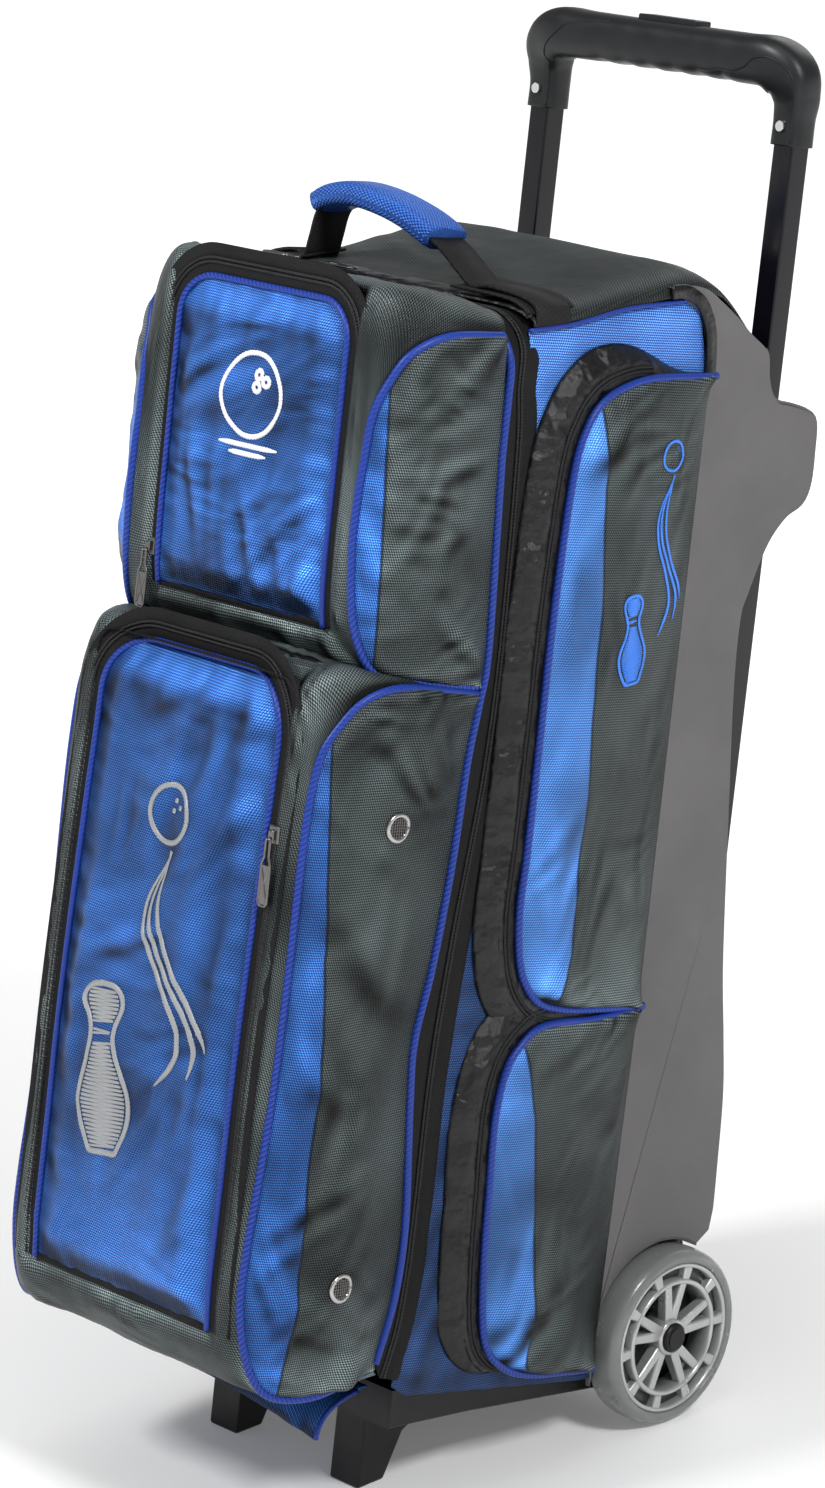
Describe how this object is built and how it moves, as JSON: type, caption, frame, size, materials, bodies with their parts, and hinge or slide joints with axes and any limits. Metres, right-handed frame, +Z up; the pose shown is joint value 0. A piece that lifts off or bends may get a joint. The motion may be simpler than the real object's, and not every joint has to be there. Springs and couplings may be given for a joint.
{
  "type": "rolling bowling bag",
  "caption": "Upright wheeled fabric bag for bowling balls, with zipped front door, front and side pockets, telescopic handle and moulded rear housing.",
  "frame": {"origin": "on the floor, at the middle of the footprint of the whole object's box", "axes": "+X to the right of somebody facing the front pockets, +Y to the back where the pull handle is, +Z up; the bag stands leaning 8 degrees back on its wheels and feet"},
  "size_m": [0.3, 0.5315, 0.9538],
  "materials": {
    "blue_fabric": "satin woven nylon",
    "sky_fabric": "satin woven nylon",
    "grey_fabric": "ribbed polyester",
    "black_fabric": "crinkled nylon",
    "webbing": "woven webbing",
    "zip_black": "moulded coil",
    "pull_metal": "antiqued die-cast",
    "board": "rigid board",
    "foam": "closed-cell foam",
    "housing_grey": "fine moulded texture",
    "black_plastic": "satin moulded",
    "grip_plastic": "soft-touch moulded",
    "tube_black": "gloss black anodised",
    "rivet": "bright",
    "steel": "turned",
    "urethane": "translucent smoke urethane",
    "core_silver": "silver moulded"
  },
  "bodies": {
    "chassis": {"right_cheek": "housing_grey", "left_cheek": "housing_grey", "rear_panel": "board", "tube_bracket": "housing_grey", "axle_block": "black_plastic", "axle": "steel", "right_axle_cap": "black_plastic", "left_axle_cap": "black_plastic", "right_outer_tube": "tube_black", "left_outer_tube": "tube_black", "base_tray": "black_plastic", "right_foot": "black_plastic", "left_foot": "black_plastic", "body_shell": "sky_fabric", "lower_ball_shelf": "board", "upper_ball_shelf": "board", "bottom_ball_cup": "foam", "middle_ball_cup": "foam", "top_ball_cup": "foam", "main_zip": "zip_black", "carry_strap": "webbing", "carry_wrap": "blue_fabric", "right_upper_side_pocket": "black_fabric", "right_lower_side_pocket": "black_fabric", "left_upper_side_pocket": "black_fabric", "left_lower_side_pocket": "black_fabric"},
    "right_wheel": {"right_tyre": "urethane", "right_wheel_core": "core_silver", "right_bearings": "steel"},
    "left_wheel": {"left_tyre": "urethane", "left_wheel_core": "core_silver", "left_bearings": "steel"},
    "handle": {"right_inner_tube": "tube_black", "left_inner_tube": "tube_black", "grip": "grip_plastic", "grip_rivets": "rivet"},
    "release": {"release_button": "black_plastic", "release_yoke": "steel"},
    "front_door": {"door_panel": "board", "upper_front_pocket": "grey_fabric", "lower_front_pocket": "grey_fabric", "vent_grommets": "steel"},
    "upper_front_flap_body": {"upper_front_flap": "blue_fabric"},
    "lower_front_flap_body": {"lower_front_flap": "blue_fabric"},
    "right_upper_side_flap_body": {"right_upper_side_flap": "grey_fabric"},
    "right_lower_side_flap_body": {"right_lower_side_flap": "grey_fabric"},
    "left_upper_side_flap_body": {"left_upper_side_flap": "grey_fabric"},
    "left_lower_side_flap_body": {"left_lower_side_flap": "grey_fabric"},
    "left_main_slider_body": {"left_main_slider": "pull_metal"},
    "left_main_pull_body": {"left_main_pull": "pull_metal"},
    "right_main_slider_body": {"right_main_slider": "pull_metal"},
    "right_main_pull_body": {"right_main_pull": "pull_metal"},
    "upper_front_slider_body": {"upper_front_slider": "pull_metal"},
    "upper_front_pull_body": {"upper_front_pull": "pull_metal"},
    "lower_front_slider_body": {"lower_front_slider": "pull_metal"},
    "lower_front_pull_body": {"lower_front_pull": "pull_metal"},
    "right_upper_side_slider_body": {"right_upper_side_slider": "zip_black"},
    "right_lower_side_slider_body": {"right_lower_side_slider": "zip_black"},
    "left_upper_side_slider_body": {"left_upper_side_slider": "zip_black"},
    "left_lower_side_slider_body": {"left_lower_side_slider": "zip_black"}
  },
  "joints": [
    {"name": "right_wheel_spin", "type": "hinge", "parent": "chassis", "child": "right_wheel", "pos_m": [0.13375, 0.12008, 0.0635], "axis": [1, 0, 0], "continuous": true},
    {"name": "left_wheel_spin", "type": "hinge", "parent": "chassis", "child": "left_wheel", "pos_m": [-0.13375, 0.12008, 0.0635], "axis": [1, 0, 0], "continuous": true},
    {"name": "handle_slide", "type": "slide", "parent": "chassis", "child": "handle", "axis": [0, 0.1392, 0.9903], "range_m": [-0.12, 0.06]},
    {"name": "release_press", "type": "slide", "parent": "handle", "child": "release", "axis": [0, -0.1392, -0.9903], "range_m": [0, 0.004], "stiffness_N_per_m": 1500, "springref_m": -0.003},
    {"name": "door_hinge", "type": "hinge", "parent": "chassis", "child": "front_door", "pos_m": [0, -0.12523, 0.1], "axis": [1, 0, 0], "range_deg": [0, 55]},
    {"name": "upper_flap_hinge", "type": "hinge", "parent": "front_door", "child": "upper_front_flap_body", "pos_m": [0, -0.15114, 0.61259], "axis": [1, 0, 0], "range_deg": [0, 95]},
    {"name": "lower_flap_hinge", "type": "hinge", "parent": "front_door", "child": "lower_front_flap_body", "pos_m": [0, -0.26093, 0.16552], "axis": [1, 0, 0], "range_deg": [0, 60]},
    {"name": "right_upper_side_hinge", "type": "hinge", "parent": "chassis", "child": "right_upper_side_flap_body", "pos_m": [0.1435, 0.09846, 0.36949], "axis": [0, 0.1392, 0.9903], "range_deg": [0, 85]},
    {"name": "right_upper_side_zip", "type": "slide", "parent": "chassis", "child": "right_upper_side_slider_body", "axis": [0, -0.9903, 0.1392], "range_m": [0, 0.04]},
    {"name": "right_lower_side_hinge", "type": "hinge", "parent": "chassis", "child": "right_lower_side_flap_body", "pos_m": [0.1435, 0.06369, 0.17241], "axis": [0, 0.1392, 0.9903], "range_deg": [0, 85]},
    {"name": "right_lower_side_zip", "type": "slide", "parent": "chassis", "child": "right_lower_side_slider_body", "axis": [0, -0.9903, 0.1392], "range_m": [0, 0.04]},
    {"name": "left_upper_side_hinge", "type": "hinge", "parent": "chassis", "child": "left_upper_side_flap_body", "pos_m": [-0.1435, 0.09846, 0.36949], "axis": [0, -0.1392, -0.9903], "range_deg": [0, 85]},
    {"name": "left_upper_side_zip", "type": "slide", "parent": "chassis", "child": "left_upper_side_slider_body", "axis": [0, -0.9903, 0.1392], "range_m": [0, 0.04]},
    {"name": "left_lower_side_hinge", "type": "hinge", "parent": "chassis", "child": "left_lower_side_flap_body", "pos_m": [-0.1435, 0.06369, 0.17241], "axis": [0, -0.1392, -0.9903], "range_deg": [0, 85]},
    {"name": "left_lower_side_zip", "type": "slide", "parent": "chassis", "child": "left_lower_side_slider_body", "axis": [0, -0.9903, 0.1392], "range_m": [0, 0.04]},
    {"name": "left_main_zip", "type": "slide", "parent": "chassis", "child": "left_main_slider_body", "axis": [1, 0, 0], "range_m": [-0.012, 0]},
    {"name": "right_main_zip", "type": "slide", "parent": "chassis", "child": "right_main_slider_body", "axis": [1, 0, 0], "range_m": [0, 0.14]},
    {"name": "left_main_pull_lift", "type": "hinge", "parent": "left_main_slider_body", "child": "left_main_pull_body", "pos_m": [-0.082, -0.02065, 0.81035], "axis": [0, 0.9903, -0.1392], "range_deg": [0, 100]},
    {"name": "right_main_pull_lift", "type": "hinge", "parent": "right_main_slider_body", "child": "right_main_pull_body", "pos_m": [-0.062, -0.02065, 0.81035], "axis": [0, -0.9903, 0.1392], "range_deg": [0, 100]},
    {"name": "upper_front_zip", "type": "slide", "parent": "front_door", "child": "upper_front_slider_body", "axis": [0, 0.1392, 0.9903], "range_m": [0, 0.15]},
    {"name": "upper_front_pull_lift", "type": "hinge", "parent": "upper_front_slider_body", "child": "upper_front_pull_body", "pos_m": [-0.0875, -0.15469, 0.63329], "axis": [-1, 0, 0], "range_deg": [0, 100]},
    {"name": "lower_front_zip", "type": "slide", "parent": "front_door", "child": "lower_front_slider_body", "axis": [0, 0.1712, 0.9852], "range_m": [-0.3, 0.06]},
    {"name": "lower_front_pull_lift", "type": "hinge", "parent": "lower_front_slider_body", "child": "lower_front_pull_body", "pos_m": [0.095, -0.21249, 0.48791], "axis": [-1, 0, 0], "range_deg": [0, 100]}
  ]
}
